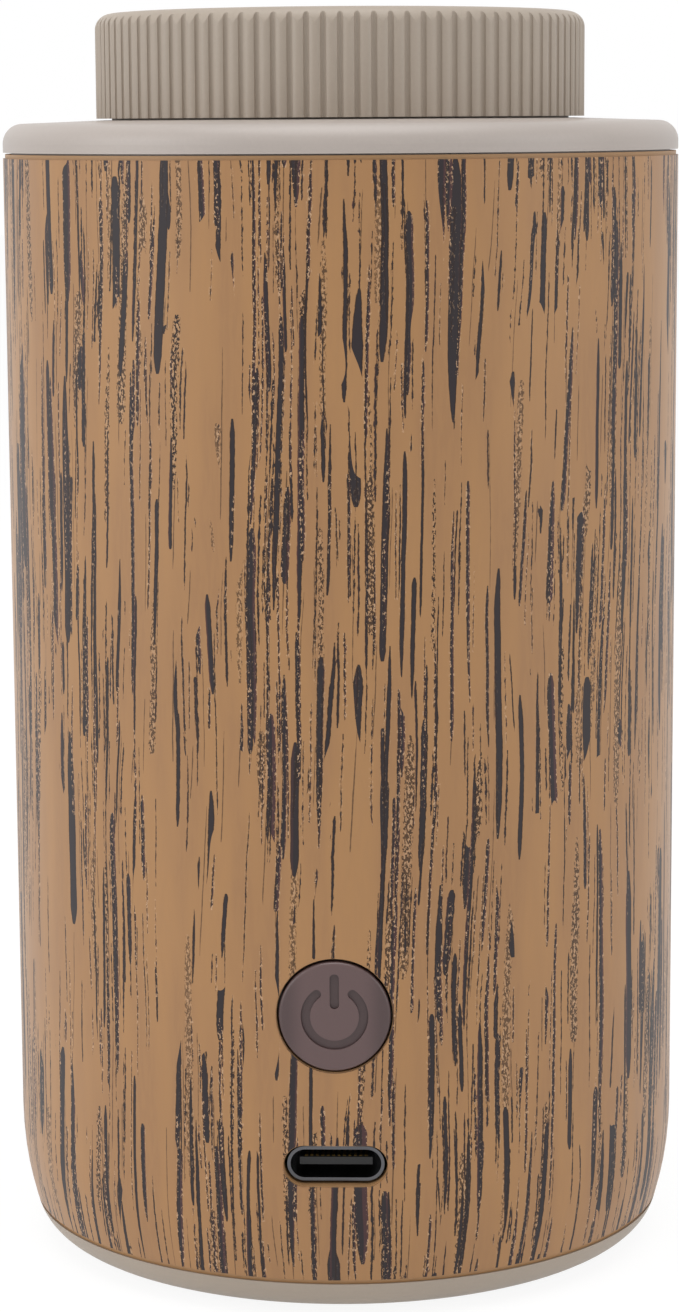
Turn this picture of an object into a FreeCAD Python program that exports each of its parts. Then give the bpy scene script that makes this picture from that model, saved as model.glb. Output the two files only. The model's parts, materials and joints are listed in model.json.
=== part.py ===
"""Cordless cold-air oil diffuser: a round printed casing with a ribbed twist cap, built as a bench assembly.

Millimetres, +Z up. The origin is the middle of the foot pad's resting face.
The button and the charging port face -Y.
A micro air pump blows across a feed jet in the head, which draws oil from the bottle screwed under it.
The mist leaves through the chimney in the cap. The cap turns to lock the head, and head, bottle and cap
lift out together.
"""
import FreeCAD, Part
import math
import os
from FreeCAD import Vector

# --- the bottle, from which the widths and heights are stacked up ---
bottle_radius = 12.4
bottle_height = 56.0
bottle_wall = 1.6
neck_radius = 7.9
neck_height = 14.0
neck_bore = 5.2
thread_pitch = 3.0
thread_height = 0.95
thread_turns = 2.0
thread_start = 8.0
thread_root_width, thread_crest_width, thread_bite = 1.5, 0.6, 0.25
unscrew_turns = 2.0

# --- widths, from the bottle outwards ---
bottle_gap = 1.2
well_wall = 1.4
port_room = 5.9
skirt_wall = 1.1
rib_overhang = 1.5
shoulder_width = 9.0
well_inner = bottle_radius + bottle_gap
well_outer = well_inner + well_wall
skirt_inner = well_outer + port_room
skirt_outer = skirt_inner + skirt_wall
cap_radius = skirt_outer + rib_overhang
body_radius = cap_radius + shoulder_width

# --- heights, from the resting face upwards ---
foot_stand = 0.5
floor_thickness = 2.2
tray_gap = 1.3
tray_thickness = 1.5
pad_thickness = 1.0
cell_length = 34.5
cell_head_room = 1.2
motor_length = 16.0
pump_base_height = 8.5
diaphragm_thickness = 1.0
valve_plate_thickness = 2.0
pump_head_height = 4.0
pump_head_room = 2.0
pump_stack_height = pump_base_height + diaphragm_thickness + valve_plate_thickness + pump_head_height
pump_length = motor_length + pump_stack_height
bulkhead_thickness = 1.4
drop_clearance = 0.6
rim_depth = 3.8
cap_height = 10.0
floor_z = foot_stand + floor_thickness
tray_z = floor_z + tray_gap
tray_top = tray_z + tray_thickness
bay_floor = tray_top + pad_thickness
bulkhead_z = bay_floor + max(cell_length + cell_head_room, pump_length + pump_head_room)
well_floor_z = bulkhead_z + bulkhead_thickness
unscrew_drop = thread_pitch * unscrew_turns
bottle_z = well_floor_z + drop_clearance + unscrew_drop
rim_z = bottle_z + bottle_height
body_height = rim_z + rim_depth
cap_top = body_height + cap_height

# --- casing ---
film_thickness = 0.2
film_top_margin = 0.4
film_foot_margin = 0.45
film_seam = 0.3
sleeve_wall = 1.9
collar_side = 3.0
shadow_gap = 0.15
shadow_depth = 0.8
shoulder_round = 1.9
crown_rise = 0.28
collar_plate = 2.4
base_rim_z = 3.6
curve_start_z = 13.0
curve_radius = 33.0
spigot_wall = 1.5
spigot_gap = 0.2
base_spigot_top = 9.0
collar_spigot_drop = 4.0
sleeve_inner = body_radius - film_thickness - sleeve_wall
sleeve_top = body_height - collar_side - shadow_gap
curve_centre = body_radius - curve_radius

# --- foot and air inlet ---
foot_outer = 25.6
foot_inner = 15.5
foot_seat = 0.7
vent_count = 8
vent_inner, vent_outer = 5.0, 12.0
vent_width = 1.5
filter_radius = 13.0
filter_thickness = 1.0

# --- fasteners ---
screw_play = 0.05
leg_radius = 2.6
leg_collar = 3.4
leg_collar_height = 2.5
leg_distance = 23.4
leg_room = 1.0
leg_boss_wall = 0.8
stand_radius = 1.8
stand_distance = 3.5
head_recess = 2.5
leg_angles = (90.0, -41.5, 221.5)
base_screw = {"shank": 1.15, "head": 2.2, "head_height": 1.5, "length": 11.0}
collar_screw = {"shank": 0.85, "head": 1.7, "head_height": 1.2, "length": 8.0}
board_stand_x, board_stand_half, board_stand_depth = 11.5, 2.0, 2.3
board_screw = {"shank": 0.85, "head": 1.6, "head_height": 1.1, "length": 5.5}
pump_screw = {"shank": 0.75, "head": 1.4, "head_height": 1.0, "length": 13.5}
collar_screw_angles = (60.0, 180.0, 300.0)
boss_radius = 2.2

# --- cap ---
rib_count = 96
rib_drop = 0.15
rib_depth = 0.42
rib_crest_share = 0.64
cap_edge_round = 1.5
cap_roof = 2.0
cap_dish = 0.6
cap_lift_gap = 0.15
outlet_radius = 5.3
bore_play = 0.2
lug_angles = (30.0, 150.0, 270.0)
lug_span = 16.0
notch_span = 21.0
lug_height = 1.6
lug_play = 0.2
lock_turn = 45.0
stop_play, stop_span = 1.5, 4.0
relief_margin = 0.7
ring_wall = 1.6
flange_thickness = 3.8
flange_z = body_height - flange_thickness
lug_top = flange_z - lug_play
skirt_z = lug_top - lug_height - 3.0
retainer_depth = 0.4
retainer_height = 1.2
retainer_inner = skirt_inner - 1.4

# --- head ---
head_play = 0.3
seat_z = rim_z - 3.3
head_flange_thickness = 2.0
head_flange_z = seat_z + 0.1
head_flange = skirt_inner - head_play
gasket_thickness = 0.8
head_plate_z = rim_z + gasket_thickness
head_plate = 1.4
chamber_z = head_plate_z + head_plate
chamber_radius = 12.6
chamber_wall = 1.4
chamber_top = cap_top - cap_roof - 2.8
thread_sleeve = 11.6
thread_sleeve_z = rim_z - 9.6
thread_play = 0.25
lid_thickness = 1.4
chimney_bore = 4.0
chimney_radius = 5.0
jet_z = chamber_z + 2.6
jet_radius = 1.2
jet_hole, jet_bore, feed_hole = 0.25, 0.55, 0.35
press_play = 0.02
tower_radius = 2.2
tube_radius = 1.9
tube_bore = 1.25
tube_foot_gap = 1.2

# --- air port and hose ---
port_radius = (well_outer + skirt_inner) / 2
nipple_radius = 1.3
nipple_bore = 0.7
deck_thickness = 2.0
deck_z = seat_z - 5.3
deck_top = deck_z + deck_thickness
grommet_neck = 2.0
grommet_flange = 2.45
hose_radius = 2.0
hose_bore = 1.35
barb_radius = 1.3
plate_radius = sleeve_inner - 0.4
shelf_width = 1.2
shelf_thickness = 1.2
foot_play = 0.02
hose_play = 0.6

# --- charging port, button and board ---
usb_z = 15.3
usb_width, usb_height, usb_wall = 8.94, 3.26, 0.3
usb_recess = 1.1
usb_length = 9.0
usb_slot_play = 0.28
board_thickness = 1.6
board_width = 30.0
board_front = -(body_radius - usb_recess - usb_length)
board_back = board_front + board_thickness
board_z = base_spigot_top + 0.3
board_top = bulkhead_z - 2.2
button_z = 29.5
button_radius = 5.1
button_play = 0.2
button_proud = 0.2
button_travel = 0.4
symbol_depth = 0.3
symbol_radius = 2.65
symbol_width = 0.85
symbol_gap = 38.0
bar_low, bar_high = 1.15, 3.55
switch_side = 6.2
switch_height = 3.5
plunger_radius = 1.7
plunger_height = 1.5
flange_radius = 6.2
guide_bore = 4.5
guide_radius = 5.6
led_at, led_width, led_height = 5.05, 1.6, 0.7

# --- pump and cell bay ---
motor_radius = 12.0
can_wall = 0.8
foam_thickness = 0.8
cradle_play = 0.1
cradle_wall = 1.0
cradle_height = 8.0
cell_radius = 9.2
cell_cradle_height = 12.0
bay_gap = 1.2
bay_centre_x = -1.0
bay_y = 4.0
pump_cradle = motor_radius + foam_thickness + cradle_play + cradle_wall
cell_cradle = cell_radius + 0.2 + 1.2
bay_width = 2 * pump_cradle + bay_gap + 2 * cell_cradle
pump_x = bay_centre_x - bay_width / 2 + pump_cradle
cell_x = bay_centre_x + bay_width / 2 - cell_cradle
pump_at = Vector(pump_x, bay_y, 0)
cell_at = Vector(cell_x, bay_y, 0)
motor_z = bay_floor
motor_top = motor_z + motor_length
end_cap_thickness = 1.6
tab_angles = (-64.0, -46.0)
tab_z = motor_z + end_cap_thickness + 0.05
tab_thickness = 0.4
lead_radius = 0.5
socket_z = 34.0
shaft_radius = 1.0
bush_bore = 1.05
bush_radius = 2.2
diaphragm_z = motor_top + pump_base_height
valve_z = diaphragm_z + diaphragm_thickness
pump_head_z = valve_z + valve_plate_thickness
pump_top = pump_head_z + pump_head_height
swash_angle = 8.0
pivot_z = diaphragm_z + 0.7
wheel_radius = 5.0
wheel_height = 3.0
wheel_z = motor_top + 1.2
pin_radius = 0.75
pin_play = 0.08
arm_reach = 6.0
arm_thickness = 1.3
cup_radius = 2.4
cup_wall = 0.6
pump_boss_distance = 10.2
pump_screw_angles = (90, 210, 330)
cup_angles = (30, 150, 270)
port_angle = math.degrees(math.atan2(bay_y, pump_x))
port_turn = math.radians(port_angle)
port_at = Vector(port_radius * math.cos(port_turn), port_radius * math.sin(port_turn), 0)

UP = Vector(0, 0, 1)
OVERCUT = 1.0
MERGE = 0.5
parts = {}


# --- shapes used again and again ---
def rod(radius, z0, z1, at=Vector(0, 0, 0)):
    return Part.makeCylinder(radius, z1 - z0, Vector(at.x, at.y, z0), UP)


def ring(outer, inner, z0, z1, at=Vector(0, 0, 0)):
    return rod(outer, z0, z1, at).cut(rod(inner, z0 - OVERCUT, z1 + OVERCUT, at))


def rod_y(radius, y0, y1, x, z):
    return Part.makeCylinder(radius, y1 - y0, Vector(x, y0, z), Vector(0, 1, 0))


def box(x0, x1, y0, y1, z0, z1):
    return Part.makeBox(x1 - x0, y1 - y0, z1 - z0, Vector(x0, y0, z0))


def spun(start, *steps):
    """A solid of revolution about Z. A step is an (r, z) point, or a pair: a point on an arc and its end."""
    def point(rz):
        return Vector(rz[0], 0, rz[1])
    edges = []
    here = start
    for step in steps + (start,):
        if isinstance(step[0], tuple):
            edges.append(Part.Arc(point(here), point(step[0]), point(step[1])).toShape())
            here = step[1]
        elif math.dist(here, step) > 1e-6:
            edges.append(Part.makeLine(point(here), point(step)))
            here = step
    return Part.Face(Part.Wire(edges)).revolve(Vector(0, 0, 0), UP, 360)


def turned(shape, angle, about=Vector(0, 0, 0)):
    copy = shape.copy()
    copy.rotate(about, UP, angle)
    return copy


def at_angle(distance, angle):
    return Vector(distance * math.cos(math.radians(angle)), distance * math.sin(math.radians(angle)), 0)


def joined(*shapes):
    whole = shapes[0]
    for shape in shapes[1:]:
        whole = whole.fuse(shape)
    return whole.removeSplitter()


def sector(outer, inner, z0, z1, middle, span, at=Vector(0, 0, 0)):
    """A block cut from a ring, span degrees wide."""
    pie = Part.makeCylinder(outer, z1 - z0, Vector(0, 0, z0), UP, span)
    pie.rotate(Vector(0, 0, 0), UP, middle - span / 2)
    block = pie.cut(rod(inner, z0 - OVERCUT, z1 + OVERCUT))
    block.translate(at)
    return block


def stadium_y(width, height, y0, y1, z):
    """A bar along Y with round ends to left and right."""
    end = height / 2
    reach = width / 2 - end
    block = box(-reach, reach, y0, y1, z - end, z + end)
    return joined(block, rod_y(end, y0, y1, -reach, z), rod_y(end, y0, y1, reach, z))


def rounded_path(points):
    """Straight runs joined by tangent arcs, each as large as its two runs allow."""
    edges = []
    here = points[0]
    for before, corner, after in zip(points, points[1:], points[2:]):
        back = (before - corner).normalize()
        ahead = (after - corner).normalize()
        half = (math.pi - back.getAngle(ahead)) / 2
        setback = 0.45 * min((before - corner).Length, (after - corner).Length)
        radius = setback / math.tan(half)
        first = corner + back * setback
        last = corner + ahead * setback
        inward = (back + ahead).normalize()
        middle = corner + inward * (radius / math.cos(half) - radius)
        edges.append(Part.makeLine(here, first))
        edges.append(Part.Arc(first, middle, last).toShape())
        here = last
    edges.append(Part.makeLine(here, points[-1]))
    return Part.Wire(edges)


def tube(points, radius, bore=0.0):
    path = rounded_path(points) if len(points) > 2 else Part.Wire([Part.makeLine(*points)])
    along = (points[1] - points[0]).normalize()

    def swept(r):
        section = Part.Wire([Part.Circle(points[0], along, r).toShape()])
        return path.makePipeShell([section], True, False)
    return swept(radius).cut(swept(bore)) if bore else swept(radius)


def helical_ridge(root, crest, base_width, tip_width, z0, turns):
    """A right-hand ridge of trapezium section that climbs from z0."""
    helix = Part.makeHelix(thread_pitch, thread_pitch * turns, root)
    helix.translate(Vector(0, 0, z0))
    corners = [Vector(root, 0, z0 - base_width / 2), Vector(crest, 0, z0 - tip_width / 2),
               Vector(crest, 0, z0 + tip_width / 2), Vector(root, 0, z0 + base_width / 2)]
    section = Part.makePolygon(corners + corners[:1])
    return Part.Wire(helix).makePipeShell([section], True, True)


def screw(size, tip_z, at):
    """A pan-head screw that points up, its tip at tip_z; the head is below."""
    top = tip_z
    under = top - size["length"]
    shank = rod(size["shank"], under, top, at)
    head = rod(size["head"], under - size["head_height"], under, at)
    cross = joined(*[box(-w / 2, w / 2, -t / 2, t / 2, -OVERCUT, size["head_height"] * 0.55)
                     for w, t in ((size["head"] * 1.2, 0.45), (0.45, size["head"] * 1.2))])
    cross.translate(Vector(at.x, at.y, under - size["head_height"]))
    return joined(shank, head).cut(cross)


def save(name, *solids):
    """Keeps every solid of the shapes as one node."""
    kept = [s for shape in solids for s in shape.Solids]
    parts[name] = kept[0] if len(kept) == 1 else Part.makeCompound(kept)


def wall_curve(offset, z):
    """Radius of the casing's side at height z, offset inwards from the outside."""
    if z >= curve_start_z:
        return body_radius - offset
    return curve_centre + math.sqrt((curve_radius - offset) ** 2 - (curve_start_z - z) ** 2)


def curved_shell(outer_offset, inner_offset, z0, z1):
    """A length of the casing's side between two offsets: straight, and drawn in towards the foot."""
    middle_z = (z0 + curve_start_z) / 2
    return spun((body_radius - outer_offset, z1), (body_radius - outer_offset, curve_start_z),
                ((wall_curve(outer_offset, middle_z), middle_z), (wall_curve(outer_offset, z0), z0)),
                (wall_curve(inner_offset, z0), z0),
                ((wall_curve(inner_offset, middle_z), middle_z),
                 (body_radius - inner_offset, curve_start_z)),
                (body_radius - inner_offset, z1))


# --- casing ---
def base_cover():
    slope = math.asin((curve_start_z - base_rim_z) / curve_radius)
    rim_radius = wall_curve(0, base_rim_z)
    edge_round = (base_rim_z - foot_stand) / (1 - math.sin(slope))
    round_at = (rim_radius - edge_round * math.cos(slope), base_rim_z + edge_round * math.sin(slope))
    halfway = (slope + math.pi / 2) / 2
    edge_middle = (round_at[0] + edge_round * math.cos(halfway),
                   round_at[1] - edge_round * math.sin(halfway))
    spigot = wall_curve(film_thickness + sleeve_wall, base_rim_z) - spigot_gap
    shell = spun((0, foot_stand), (round_at[0], foot_stand), (edge_middle, (rim_radius, base_rim_z)),
                 (spigot, base_rim_z), (spigot, base_spigot_top), (spigot - spigot_wall, base_spigot_top),
                 (spigot - spigot_wall, floor_z), (0, floor_z))
    bosses = [rod(leg_radius + leg_boss_wall, floor_z - MERGE, tray_top, at_angle(leg_distance, a))
              for a in leg_angles]
    stands = [rod(stand_radius, floor_z - MERGE, tray_z, at_angle(filter_radius + stand_distance, a + 60))
              for a in leg_angles]
    shell = joined(shell, *bosses, *stands)
    shell = shell.cut(ring(foot_outer + 0.1, foot_inner - 0.1, foot_stand - OVERCUT, foot_stand + foot_seat))
    head_z = tray_top - head_recess
    for angle in leg_angles:
        place = at_angle(leg_distance, angle)
        shell = shell.cut(rod(base_screw["head"] + 0.3, foot_stand, head_z, place))
        shell = shell.cut(rod(base_screw["shank"] + 0.15, head_z - OVERCUT, tray_top + OVERCUT, place))
    for n in range(vent_count):
        slot = joined(box(vent_inner, vent_outer, -vent_width / 2, vent_width / 2, 0, floor_z + OVERCUT),
                      rod(vent_width / 2, 0, floor_z + OVERCUT, Vector(vent_inner, 0, 0)),
                      rod(vent_width / 2, 0, floor_z + OVERCUT, Vector(vent_outer, 0, 0)))
        shell = shell.cut(turned(slot, n * 360 / vent_count))
    save("base_cover", shell)
    save("base_screws", *[screw(base_screw, head_z + base_screw["length"], at_angle(leg_distance, a))
                          for a in leg_angles])


def foot_pad():
    lip = 0.25
    save("foot_pad", spun((foot_inner + lip, 0), (foot_outer - lip, 0), (foot_outer, lip),
                          (foot_outer, foot_stand + foot_seat), (foot_inner, foot_stand + foot_seat),
                          (foot_inner, lip)))


def inlet_filter():
    save("inlet_filter", rod(filter_radius, floor_z, floor_z + filter_thickness))


def port_cuts(play):
    """What the button and the charging port pass through."""
    front, back = -body_radius - OVERCUT, -sleeve_inner + 3
    button = rod_y(button_radius + button_play + play, front, back, 0, button_z)
    slot = stadium_y(usb_width + 2 * (usb_slot_play + play), usb_height + 2 * (usb_slot_play + play),
                     front, back, usb_z)
    return button, slot


def body_sleeve():
    shell = curved_shell(film_thickness, film_thickness + sleeve_wall, base_rim_z, sleeve_top)
    for cut in port_cuts(0):
        shell = shell.cut(cut)
    save("body_sleeve", shell)


def wood_film():
    film = curved_shell(0, film_thickness, base_rim_z + film_foot_margin, sleeve_top - film_top_margin)
    for cut in port_cuts(0.08):
        film = film.cut(cut)
    seam = box(-film_seam / 2, film_seam / 2, 0, body_radius + OVERCUT, 0, body_height)
    save("wood_film", film.cut(seam))


def top_collar():
    ring_inner = cap_radius + relief_margin
    ring_outer = ring_inner + ring_wall
    spigot = sleeve_inner - spigot_gap - 0.1
    shoulder_z = body_height - crown_rise
    round_r = body_radius - shoulder_round
    corner = shoulder_round * math.sin(math.pi / 4)
    bore = skirt_outer + bore_play
    shell = spun((bore + 0.3, body_height), (round_r, shoulder_z),
                 ((round_r + corner, shoulder_z - shoulder_round + corner),
                  (body_radius, shoulder_z - shoulder_round)),
                 (body_radius, body_height - collar_side),
                 (body_radius - shadow_depth, body_height - collar_side),
                 (body_radius - shadow_depth, sleeve_top), (spigot, sleeve_top),
                 (spigot, sleeve_top - collar_spigot_drop),
                 (spigot - spigot_wall, sleeve_top - collar_spigot_drop),
                 (spigot - spigot_wall, shoulder_z - collar_plate), (ring_outer, shoulder_z - collar_plate),
                 (ring_outer, deck_top), (ring_inner, deck_top), (ring_inner, flange_z), (bore, flange_z),
                 (bore, body_height - 0.3))
    boss_at = (ring_outer + spigot - spigot_wall) / 2
    bosses = [rod(boss_radius, deck_top, shoulder_z - collar_plate + 0.5, at_angle(boss_at, a))
              for a in collar_screw_angles]
    stop_turn = lock_turn + lug_span / 2 + stop_play
    stops = [sector(ring_inner + 0.5, bore + 0.3, lug_top - lug_height, flange_z + 0.5,
                    a - stop_turn - stop_span / 2, stop_span) for a in lug_angles]
    shell = joined(shell, *bosses, *stops)
    for angle in lug_angles:
        shell = shell.cut(sector(cap_radius - 0.4, bore - OVERCUT, flange_z - 0.01, body_height + OVERCUT,
                                 angle, notch_span))
    tip_z = deck_z + collar_screw["length"]
    for angle in collar_screw_angles:
        shell = shell.cut(rod(collar_screw["shank"] + screw_play, deck_top - OVERCUT, tip_z + 0.4,
                              at_angle(boss_at, angle)))
    save("top_collar", shell)
    save("collar_screws", *[screw(collar_screw, tip_z, at_angle(boss_at, a)) for a in collar_screw_angles])
    return boss_at


def bottle_well(boss_at):
    """A cup for the bottle, with the deck that the collar is screwed to round its mouth."""
    cup = rod(well_outer, bulkhead_z, seat_z).cut(rod(well_inner, well_floor_z, seat_z + OVERCUT))
    shelf = rod(well_outer + shelf_width, well_floor_z, well_floor_z + shelf_thickness)
    deck = rod(plate_radius, deck_z, deck_top)
    well = joined(cup, shelf.cut(rod(well_inner, 0, cap_top)), deck.cut(rod(well_inner, 0, cap_top)))
    well = well.cut(rod(grommet_neck + 0.05, deck_z - OVERCUT, deck_top + OVERCUT, port_at))
    well = well.cut(rod(hose_radius + hose_play, bulkhead_z, well_floor_z + shelf_thickness + OVERCUT,
                        port_at))
    for angle in collar_screw_angles:
        well = well.cut(rod(collar_screw["shank"] + 0.2, deck_z - OVERCUT, deck_top + OVERCUT,
                            at_angle(boss_at, angle)))
    save("bottle_well", well)


def inner_frame():
    """The bulkhead that holds the well's foot, and the legs that the base is screwed to."""
    bulkhead = ring(plate_radius, well_outer + foot_play, bulkhead_z, well_floor_z)
    legs = []
    for angle in leg_angles:
        place = at_angle(leg_distance, angle)
        legs.append(rod(leg_radius, tray_top, bulkhead_z + 0.5, place))
        legs.append(rod(leg_collar, tray_top, tray_top + leg_collar_height, place))
    hook_x = 3.0
    hooks = [box(-hook_x, hook_x, y0, y1, board_top - 2.5, bulkhead_z + 0.5)
             for y0, y1 in ((board_front - 1.6, board_front - 0.1), (board_back + 0.1, board_back + 1.6))]
    frame = joined(bulkhead, *legs, *hooks)
    frame = frame.cut(rod(hose_radius + hose_play, bulkhead_z - OVERCUT, well_floor_z + OVERCUT, port_at))
    for angle in leg_angles:
        place = at_angle(leg_distance, angle)
        frame = frame.cut(rod(base_screw["shank"] + screw_play, tray_top - OVERCUT, tray_top + 9.5, place))
    save("inner_frame", frame)


def chassis_tray():
    """Carries the pump and the cell in cradles, and the board on two stands."""
    reach = wall_curve(film_thickness + sleeve_wall, base_rim_z) - spigot_gap - spigot_wall - 0.3
    plate = rod(reach, tray_z, tray_top)
    pump_wall = ring(pump_cradle, pump_cradle - cradle_wall, tray_z, tray_top + cradle_height, pump_at)
    cell_wall = ring(cell_cradle, cell_radius + 0.2, tray_z, tray_top + cell_cradle_height, cell_at)
    stand_z = board_z + 3.0
    stands = [box(x - board_stand_half, x + board_stand_half, board_back, board_back + board_stand_depth,
                  tray_z, stand_z + 2.5) for x in (-board_stand_x, board_stand_x)]
    tray = joined(plate, pump_wall, cell_wall, *stands)
    tray = tray.common(rod(reach, tray_z, bulkhead_z))
    window = sector(pump_cradle + OVERCUT, pump_cradle - cradle_wall - 0.5, tray_top + 1.0,
                    tray_top + cradle_height + OVERCUT, -55, 40, pump_at)
    slot = sector(cell_cradle + OVERCUT, cell_radius - 0.5, tray_top + 3, bulkhead_z, 0, 90, cell_at)
    tray = tray.cut(window).cut(slot)
    for angle in leg_angles:
        tray = tray.cut(rod(leg_radius + leg_room, tray_z - OVERCUT, tray_top + OVERCUT,
                            at_angle(leg_distance, angle)))
    for x in (-board_stand_x, board_stand_x):
        tray = tray.cut(rod_y(board_screw["shank"] + screw_play, board_back - OVERCUT, board_back + 4,
                              x, stand_z))
    save("chassis_tray", tray)
    return stand_z


# --- cap and head ---
def ribbed_prism():
    """The cap's grip: round ribs with narrow round grooves between them."""
    step = 360 / rib_count
    crest_half = step * rib_crest_share / 2
    edges = []
    for n in range(rib_count):
        middle = n * step

        def on(radius, angle):
            return at_angle(radius, middle + angle) + Vector(0, 0, body_height + cap_lift_gap)
        edges.append(Part.Arc(on(cap_radius - rib_drop, -crest_half), on(cap_radius, 0),
                              on(cap_radius - rib_drop, crest_half)).toShape())
        edges.append(Part.Arc(on(cap_radius - rib_drop, crest_half), on(cap_radius - rib_depth, step / 2),
                              on(cap_radius - rib_drop, step - crest_half)).toShape())
    return Part.Face(Part.Wire(edges)).extrude(Vector(0, 0, cap_height))


def ribbed_cap():
    z0 = body_height + cap_lift_gap
    edge = cap_edge_round
    corner = edge * math.sin(math.pi / 4)
    dish_rim = cap_radius - edge - 1.5
    dish_z = cap_top - cap_dish
    blank = spun((0, z0), (cap_radius + 1, z0), (cap_radius + 1, z0 + 0.3), (cap_radius, z0 + 0.3),
                 (cap_radius, cap_top - edge),
                 ((cap_radius - edge + corner, cap_top - edge + corner), (cap_radius - edge, cap_top)),
                 (dish_rim, cap_top), ((dish_rim * 0.55, dish_z + 0.13), (outlet_radius + 1.2, dish_z)),
                 (0, dish_z))
    grip = ribbed_prism().common(blank)
    skirt = rod(skirt_outer, skirt_z, z0 + OVERCUT)
    lugs = [sector(cap_radius - 0.55, skirt_outer - 0.3, lug_top - lug_height, lug_top, a, lug_span)
            for a in lug_angles]
    cap = joined(grip, skirt, *lugs)
    cap = cap.cut(rod(skirt_inner, skirt_z - OVERCUT, cap_top - cap_roof))
    cap = cap.cut(rod(outlet_radius, cap_top - cap_roof - OVERCUT, cap_top + OVERCUT))
    lead_in = 0.5
    cap = cap.cut(Part.makeCone(outlet_radius, outlet_radius + lead_in + 0.1, lead_in + 0.1,
                                Vector(0, 0, dish_z - lead_in), UP))
    groove_z = head_flange_z - 0.3 - retainer_height
    cap = cap.cut(ring(skirt_inner + retainer_depth + 0.05, skirt_inner - 0.5, groove_z - 0.05,
                       groove_z + retainer_height + 0.05))
    save("ribbed_cap", cap)
    gap = sector(cap_radius, retainer_inner - OVERCUT, groove_z - OVERCUT, groove_z + 3, 90, 10)
    save("cap_retainer", ring(skirt_inner + retainer_depth, retainer_inner, groove_z,
                              groove_z + retainer_height).cut(gap))


def head_body():
    outer = chamber_radius + chamber_wall
    flange_top = head_flange_z + head_flange_thickness
    jacket = ring(thread_sleeve, neck_radius + thread_height + thread_play, thread_sleeve_z, head_plate_z)
    flange = ring(head_flange, thread_sleeve - 0.5, head_flange_z, flange_top)
    plate = rod(outer, flange_top - 0.5, chamber_z).cut(
        rod(neck_radius + thread_height + thread_play, flange_top - OVERCUT, head_plate_z))
    walls = ring(outer, chamber_radius, chamber_z - 0.5, chamber_top)
    nipple = rod(nipple_radius, deck_top - 2.2, head_flange_z + 0.5, port_at)
    tower = rod(tower_radius, flange_top - 0.5, jet_z + 1.8, port_at)
    along = at_angle(1, port_angle)
    bridge = Part.makeCylinder(tower_radius - 0.3, port_radius - chamber_radius - 0.2,
                               along * (chamber_radius + 0.2) + Vector(0, 0, jet_z), along)
    ridge_root = neck_radius + thread_height + thread_play + thread_bite
    ridge = helical_ridge(ridge_root, neck_radius + thread_play, thread_root_width, thread_crest_width,
                          rim_z - thread_start + thread_pitch / 2, thread_turns - 0.25)
    body = joined(jacket, flange, plate, walls, nipple, tower, bridge)
    body = joined(body, ridge)
    body = body.cut(rod(nipple_bore, deck_top - 4, jet_z, port_at))
    level = Vector(0, 0, jet_z)
    body = body.cut(Part.makeCylinder(nipple_bore, port_radius - chamber_radius - 1,
                                      along * (chamber_radius + 1) + level, along))
    body = body.cut(Part.makeCylinder(jet_radius + press_play, chamber_wall + 1.0,
                                      along * (chamber_radius - 0.4) + level, along))
    body = body.cut(rod(jet_radius + 0.62, head_plate_z - OVERCUT, chamber_z + OVERCUT))
    for angle in (port_angle + 90, port_angle - 90):
        body = body.cut(rod(0.8, head_plate_z - OVERCUT, chamber_z + OVERCUT, at_angle(3.8, angle)))
    save("head_body", body)

    tip = 1.7
    jet_neck = 0.9
    cone_length = 2.2
    shank = Part.makeCylinder(jet_radius, chamber_wall + 0.55, along * (chamber_radius - 0.1) + level, along)
    neck = Part.makeCylinder(jet_neck, chamber_radius - tip - cone_length,
                             along * (tip + 2.1) + level, along)
    cone = Part.makeCone(0.5, jet_neck, cone_length, along * tip + level, along)
    jet = joined(shank, neck, cone)
    jet = jet.cut(Part.makeCylinder(jet_hole, 4, along * (tip - OVERCUT) + level, along))
    jet = jet.cut(Part.makeCylinder(jet_bore, chamber_radius, along * (tip + 2.6) + level, along))
    save("air_jet", jet)

    feed = spun((feed_hole, chamber_z), (feed_hole, jet_z - 0.4), (0.75, jet_z - 0.4),
                (1.5, chamber_z + 0.4), (3.0, chamber_z + 0.4),
                (3.0, chamber_z), (jet_radius + 0.6, chamber_z), (jet_radius + 0.6, head_plate_z),
                (tube_bore, head_plate_z - 0.6), (tube_bore, rim_z - 5), (tube_bore - 0.3, rim_z - 6),
                (feed_hole, rim_z - 6))
    save("oil_jet", feed)
    save("dip_tube", ring(tube_radius, tube_bore + press_play, bottle_z + bottle_wall + tube_foot_gap,
                          head_plate_z - 0.7))

    disc = rod(chamber_radius - 0.15, chamber_top - 1.9, chamber_top - 1.0)
    for n in range(6):
        disc = disc.cut(rod(1.7, 0, cap_top, at_angle(chamber_radius - 3.2, n * 60 + 30)))
    opposite = at_angle(4.2, port_angle + 180)
    disc = joined(disc, rod(1.6, jet_z + 0.2, chamber_top - 1.5, opposite), Part.makeSphere(1.6, Vector(
        opposite.x, opposite.y, jet_z + 0.2)))
    save("baffle_disc", disc)

    gasket = 0.4
    save("lid_gasket", ring(outer, chamber_radius, chamber_top, chamber_top + gasket))
    lid_z = chamber_top + gasket
    plug = chamber_radius - 0.15
    lid = spun((chimney_bore, lid_z - 1.4), (plug, lid_z - 1.4), (plug, lid_z),
               (outer, lid_z), (outer, lid_z + lid_thickness), (chimney_radius + 0.1, lid_z + lid_thickness),
               (chimney_radius, lid_z + lid_thickness + 0.4), (chimney_radius, cap_top - cap_dish - 0.2),
               (chimney_bore, cap_top - cap_dish - 0.2))
    save("head_lid", lid.cut(ring(chamber_radius - 1.2, chimney_radius, lid_z - 2, lid_z - 0.6)))


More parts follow.
